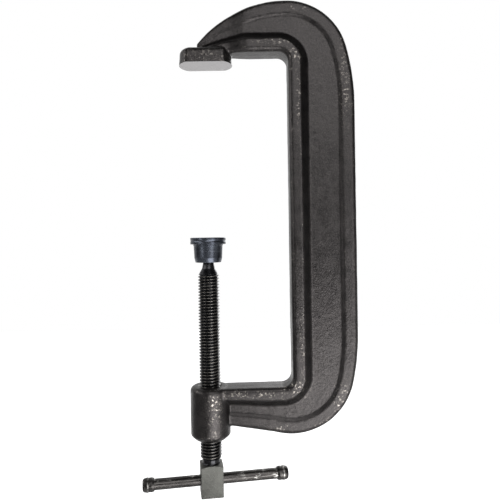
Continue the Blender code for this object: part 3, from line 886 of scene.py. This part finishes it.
def forged_skin():
    """Blackened forging: mottled and finely pitted, with painted shade darkening its hollows, and bright
    specks on its ridges.
    """
    n = Nodes("forged_skin")
    ridge = n.attribute("ridge")
    mottle = n.noise(90.0, 5.0, 0.6)
    grain = n.noise(900.0, 3.0, 0.6)
    pits = n.noise(420.0, 4.0, 0.65)
    colour = n.mix(n.ramp(mottle, 0.35, 0.65), (0.0215, 0.0198, 0.0198), (0.0320, 0.0295, 0.0292))
    colour = n.mix(n.ramp(grain, 0.35, 0.8), colour, (0.044, 0.0405, 0.0395))
    # painted shade: where the skin lies below its smoothed copy, in fillets and hollows, the colour is
    # darkened towards near black
    hollow_shade = n.ramp(ridge, -0.9, -0.05, 0.2, 0.0)
    colour = n.mix(hollow_shade, colour, (0.008, 0.007, 0.007))
    on_ridge = n.math("MULTIPLY", n.ramp(ridge, 0.12, 0.5), n.ramp(n.noise(45.0, 3.0), 0.48, 0.68, 0.0, 0.6))
    rubbed = n.math("ADD", on_ridge, n.attribute("rub"))
    specks = n.ramp(n.noise(430.0, 5.0, 0.7), 0.54, 0.66)
    worn = n.math("MULTIPLY", rubbed, specks)
    colour = n.mix(worn, colour, (0.42, 0.385, 0.345))
    n.link(colour, n.shader.inputs["Base Color"])
    n.link(n.ramp(mottle, 0.3, 0.7, 0.30, 0.40), n.shader.inputs["Roughness"])
    n.set(Metallic=0.9)
    n.bump((pits, 0.00030), (grain, 0.00010))
    return n.material


def ground_steel():
    """The anvil's ground face: bare steel with fine straight grinding marks."""
    n = Nodes("ground_steel")
    marks = n.noise(60.0, 3.0, 0.6, (1.0, 30.0, 1.0))
    colour = n.mix(n.ramp(marks, 0.3, 0.7), (0.27, 0.262, 0.265), (0.37, 0.36, 0.362))
    n.link(colour, n.shader.inputs["Base Color"])
    n.link(n.ramp(marks, 0.3, 0.7, 0.34, 0.46), n.shader.inputs["Roughness"])
    n.set(Metallic=0.9)
    n.bump((marks, 0.00004))
    return n.material


def cut_thread():
    """The tapped thread and its countersinks: oily cut steel, mostly dark."""
    n = Nodes("cut_thread")
    film = n.noise(300.0, 4.0)
    colour = n.mix(n.ramp(film, 0.35, 0.65), (0.03, 0.029, 0.028), (0.10, 0.097, 0.093))
    n.link(colour, n.shader.inputs["Base Color"])
    n.set(Metallic=0.8, Roughness=0.4)
    n.bump((film, 0.00006))
    return n.material


def black_oxide():
    """Blackened thread: near black, oily, with a little bare steel where the crests have rubbed."""
    n = Nodes("black_oxide")
    film = n.noise(160.0, 4.0, 0.6)
    crest = n.ramp(n.radius(), CREST_R - 0.45 * MM, CREST_R - 0.1 * MM)
    rub = n.math("MULTIPLY", crest, n.ramp(n.noise(60.0, 3.0), 0.35, 0.65, 0.35, 0.8))
    colour = n.mix(n.ramp(film, 0.35, 0.65), (0.018, 0.018, 0.020), (0.034, 0.034, 0.036))
    n.link(n.mix(rub, colour, (0.13, 0.122, 0.11)), n.shader.inputs["Base Color"])
    n.link(n.ramp(film, 0.3, 0.7, 0.24, 0.32), n.shader.inputs["Roughness"])
    n.set(Metallic=0.9)
    n.bump((film, 0.00003))
    return n.material


def milled_steel(turn):
    """The square head: dull grey milled steel with faint cutter sweeps and stains."""
    n = Nodes("milled_steel")
    stain = n.noise(120.0, 5.0, 0.65)
    sweeps = n.noise(200.0, 3.0, 0.6, (1.0, 1.0, 9.0), turn)
    grain = n.noise(1200.0, 2.0)
    colour = n.mix(n.ramp(stain, 0.3, 0.7), (0.046, 0.046, 0.0415), (0.078, 0.078, 0.071))
    colour = n.mix(n.ramp(grain, 0.5, 0.8), colour, (0.10, 0.10, 0.093))
    n.link(colour, n.shader.inputs["Base Color"])
    n.link(n.ramp(stain, 0.3, 0.7, 0.40, 0.55), n.shader.inputs["Roughness"])
    n.set(Metallic=0.8)
    n.bump((sweeps, 0.00008), (grain, 0.00006))
    return n.material


def blued_steel():
    """The pad: blue-black turned steel with fine rings from the lathe."""
    n = Nodes("blued_steel")
    film = n.noise(70.0, 3.0, 0.5)
    rings = n.noise(60.0, 2.0, 0.5, (0.15, 0.15, 9.0))
    colour = n.mix(n.ramp(film, 0.3, 0.7), (0.040, 0.044, 0.055), (0.064, 0.071, 0.086))
    colour = n.mix(n.ramp(rings, 0.55, 0.75), colour, (0.10, 0.107, 0.125))
    n.link(colour, n.shader.inputs["Base Color"])
    n.link(n.ramp(film, 0.3, 0.7, 0.28, 0.36), n.shader.inputs["Roughness"])
    n.set(Metallic=0.9)
    n.bump((rings, 0.00003))
    return n.material


def spring_wire():
    """The retaining ring's bright drawn wire."""
    n = Nodes("spring_wire")
    drawn = n.noise(500.0, 3.0)
    colour = n.mix(n.ramp(drawn, 0.3, 0.7), (0.20, 0.20, 0.21), (0.32, 0.32, 0.33))
    n.link(colour, n.shader.inputs["Base Color"])
    n.set(Metallic=1.0, Roughness=0.35)
    n.bump((drawn, 0.00003))
    return n.material


def bar_steel():
    """The bar: dark drawn steel with streaks along it and rubbed, brighter stretches."""
    n = Nodes("bar_steel")
    streaks = n.noise(55.0, 4.0, 0.6, (14.0, 14.0, 1.0))
    film = n.noise(70.0, 4.0, 0.6)
    specks = n.noise(700.0, 2.0, 0.5, (1.0, 1.0, 0.35))
    colour = n.mix(n.ramp(streaks, 0.35, 0.7), (0.027, 0.025, 0.024), (0.075, 0.070, 0.067))
    bare = n.math("MULTIPLY", n.ramp(film, 0.5, 0.66), n.ramp(specks, 0.5, 0.62))
    colour = n.mix(bare, colour, (0.45, 0.44, 0.42))
    n.link(colour, n.shader.inputs["Base Color"])
    n.link(n.ramp(film, 0.3, 0.7, 0.24, 0.40), n.shader.inputs["Roughness"])
    n.set(Metallic=0.9)
    n.bump((streaks, 0.00012), (specks, 0.00006))
    return n.material


def cap_steel(ring_z, ring_wear_and_highlight):
    """A cap's turned steel, with a bright band along the ridge at ring_z on the bar's axis: rubbed wear and a
    painted highlight.
    """
    n = Nodes("cap_steel")
    film = n.noise(260.0, 4.0, 0.65)
    rings = n.noise(70.0, 3.0, 0.6, (0.2, 0.2, 16.0))
    colour = n.mix(n.ramp(film, 0.35, 0.7), (0.025, 0.0235, 0.023), (0.065, 0.061, 0.058))
    beside = n.math("ABSOLUTE", n.math("SUBTRACT", n.part("Z"), ring_z), 0.0)
    # rubbed wear and painted highlight: a bright band round the ridge
    band = n.ramp(beside, 0.4 * MM, 1.1 * MM, ring_wear_and_highlight, 0.0)
    rubbed = n.math("MULTIPLY", band, n.ramp(film, 0.35, 0.65, 0.2, 1.0))
    colour = n.mix(rubbed, colour, (0.45, 0.44, 0.42))
    n.link(colour, n.shader.inputs["Base Color"])
    n.link(n.ramp(film, 0.3, 0.7, 0.26, 0.40), n.shader.inputs["Roughness"])
    n.set(Metallic=0.9)
    n.bump((rings, 0.00010), (film, 0.00012))
    return n.material


# Stage

def build_floor():
    """A pale floor far below, which glows more and more along Y, so that it fades to pure white behind the
    clamp.
    """
    mesh = bpy.data.meshes.new("floor")
    corners = [(FLOOR_REACH * x, FLOOR_REACH * y, FLOOR_Z) for x, y in ((-1, -1), (1, -1), (1, 1), (-1, 1))]
    mesh.from_pydata(corners, [], [(0, 1, 2, 3)])
    floor = new_object("floor", mesh)
    n = Nodes("pale_floor")
    n.link(n.mix(n.noise(2.0), (0.80, 0.80, 0.80), (0.84, 0.84, 0.84)), n.shader.inputs["Base Color"])
    # painted glow: the floor emits white light, from none near the clamp to full strength further back
    n.link(n.ramp(n.part("Y"), *FLOOR_GLOW_FADE), n.shader.inputs["Emission Strength"])
    n.shader.inputs["Emission Color"].default_value = (1.0, 1.0, 1.0, 1.0)
    n.set(Roughness=0.8)
    mesh.materials.append(n.material)


def build_world():
    """A white studio: pure white to the camera, and for reflections bright behind the clamp, dim in front."""
    world = bpy.data.worlds.new("studio")
    bpy.context.scene.world = world
    world.use_nodes = True
    tree = world.node_tree
    tree.nodes.clear()
    output = tree.nodes.new("ShaderNodeOutputWorld")
    seen = tree.nodes.new("ShaderNodeBackground")
    seen.inputs["Color"].default_value = (1.0, 1.0, 1.0, 1.0)
    seen.inputs["Strength"].default_value = 1.0
    lit = tree.nodes.new("ShaderNodeBackground")
    direction = tree.nodes.new("ShaderNodeTexCoord")
    parts = tree.nodes.new("ShaderNodeSeparateXYZ")
    tree.links.new(direction.outputs["Generated"], parts.inputs["Vector"])
    depth = tree.nodes.new("ShaderNodeMapRange")
    depth.interpolation_type = "SMOOTHSTEP"
    for name, number in (("From Min", 0.25), ("From Max", 0.65), ("To Min", 0.05), ("To Max", 1.0)):
        depth.inputs[name].default_value = number
    behind = parts.outputs["Y"]
    for part, share in (("Z", 0.35), ("X", -0.22)):
        add = tree.nodes.new("ShaderNodeMath")
        add.operation = "MULTIPLY_ADD"
        add.inputs[1].default_value = share
        tree.links.new(parts.outputs[part], add.inputs[0])
        tree.links.new(behind, add.inputs[2])
        behind = add.outputs["Value"]
    tree.links.new(behind, depth.inputs["Value"])
    tree.links.new(depth.outputs["Result"], lit.inputs["Strength"])
    path = tree.nodes.new("ShaderNodeLightPath")
    mix = tree.nodes.new("ShaderNodeMixShader")
    tree.links.new(path.outputs["Is Camera Ray"], mix.inputs["Fac"])
    tree.links.new(lit.outputs["Background"], mix.inputs[1])
    tree.links.new(seen.outputs["Background"], mix.inputs[2])
    tree.links.new(mix.outputs["Shader"], output.inputs["Surface"])


def soft_light(name, azimuth, elevation, distance, size, power):
    """An area light aimed at the clamp's middle."""
    middle = (cad_low + cad_high) / 2
    a, e = math.radians(azimuth), math.radians(elevation)
    back = Vector((math.sin(a) * math.cos(e), -math.cos(a) * math.cos(e), math.sin(e)))
    data = bpy.data.lights.new(name, "AREA")
    data.shape = "RECTANGLE"
    data.size, data.size_y = size
    data.energy = power
    light = bpy.data.objects.new(name, data)
    light.location = middle + back * distance
    light.rotation_mode = "QUATERNION"
    light.rotation_quaternion = back.to_track_quat("Z", "Y")
    bpy.context.scene.collection.objects.link(light)


def build_camera():
    """Level camera in front of the throat, rolled a little, so that the clamp leans to the left."""
    data = bpy.data.cameras.new("camera")
    data.sensor_width = 36.0
    data.lens = CAMERA_LENS
    data.shift_x, data.shift_y = CAMERA_SHIFT
    camera = bpy.data.objects.new("camera", data)
    c, s = math.cos(CAMERA_ROLL), math.sin(CAMERA_ROLL)
    turn = Matrix(((c, s, 0.0), (0.0, 0.0, -1.0), (-s, c, 0.0)))
    camera.matrix_world = Matrix.Translation(CAMERA_PLACE) @ turn.to_4x4()
    bpy.context.scene.collection.objects.link(camera)
    bpy.context.scene.camera = camera


def main():
    bpy.context.scene.view_settings.view_transform = "Standard"
    head_axis = Vector(JOINTS["bar_slide"]["axis"])
    turn = math.atan2(head_axis.y, head_axis.x)
    build_frame()
    build_spindle(turn)
    build_pad()
    build_ring()
    place, axis = handle_place()
    build_bar(place, axis)
    build_cap(place, axis, "bar_cap_left", "left_cap", -1)
    build_cap(place, axis, "bar_cap_right", "right_cap", 1)
    build_floor()
    build_world()
    for name, settings in LIGHTS.items():
        soft_light(name, *settings)
    build_camera()


main()
bpy.context.view_layer.update()
